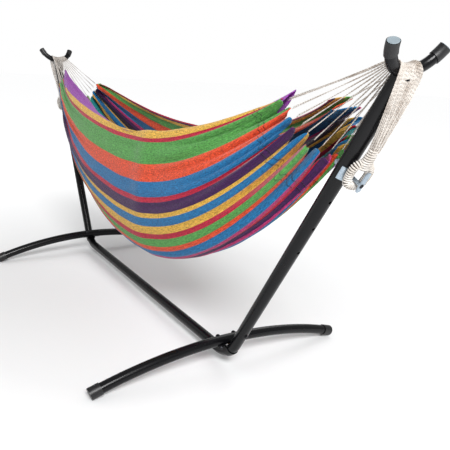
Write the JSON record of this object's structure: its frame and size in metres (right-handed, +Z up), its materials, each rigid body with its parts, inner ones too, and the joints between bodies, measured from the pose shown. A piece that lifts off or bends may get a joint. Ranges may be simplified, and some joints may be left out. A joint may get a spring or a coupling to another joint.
{
  "type": "hammock on stand",
  "caption": "Fabric hammock with gathered string ends, hung over the forks of a free-standing tubular steel stand with arched cross feet.",
  "frame": {"origin": "on the floor, midway between the two posts", "axes": "+X along the hammock, +Y across it, +Z up; the two ends are alike, so +X may point to either"},
  "size_m": [2.6102, 1.19, 1.1376],
  "materials": {
    "powder_coat": "satin black powder coat with a fine texture",
    "black_screws": "black zinc plated screws",
    "cap_plastic": "moulded black plastic, faintly ribbed",
    "fork_cap_plastic": "moulded dark plastic with a grey end face",
    "zinc": "bright zinc plate",
    "cotton_rope": "twisted natural cotton",
    "striped_cotton": "woven cotton with lengthwise stripes of many colours"
  },
  "bodies": {
    "stand": {"centre_beam": "powder_coat", "elbow_right": "powder_coat", "elbow_left": "powder_coat", "post_right": "powder_coat", "post_left": "powder_coat", "fork_right": "powder_coat", "fork_left": "powder_coat", "foot_tube_right": "powder_coat", "foot_tube_left": "powder_coat", "foot_bracket_right": "powder_coat", "foot_bracket_left": "powder_coat", "foot_caps_right": "cap_plastic", "foot_caps_left": "cap_plastic", "fork_caps_right": "fork_cap_plastic", "fork_caps_left": "fork_cap_plastic", "joint_bolts_right": "black_screws", "joint_bolts_left": "black_screws", "thread_inserts_right": "zinc", "thread_inserts_left": "zinc", "foot_bolts_right": "black_screws", "foot_bolts_left": "black_screws", "foot_nuts_right": "zinc", "foot_nuts_left": "zinc", "hook_band_right": "zinc", "hook_band_left": "zinc", "hook_bolt_right": "zinc", "hook_bolt_left": "zinc", "hook_plate_right": "zinc", "hook_plate_left": "zinc", "hook_nut_right": "zinc", "hook_nut_left": "zinc", "rope_eye_right": "cotton_rope", "rope_eye_left": "cotton_rope", "rope_neck_right": "cotton_rope", "rope_neck_left": "cotton_rope", "rope_tails_right": "cotton_rope", "rope_tails_left": "cotton_rope"},
    "bed": {"hammock_bed": "striped_cotton", "string_fan_right": "cotton_rope", "string_fan_left": "cotton_rope"}
  },
  "joints": [
    {"name": "bed_swing", "type": "hinge", "parent": "stand", "child": "bed", "pos_m": [0, 0, 1.075], "axis": [1, 0, 0], "range_deg": [-25, 25]}
  ]
}
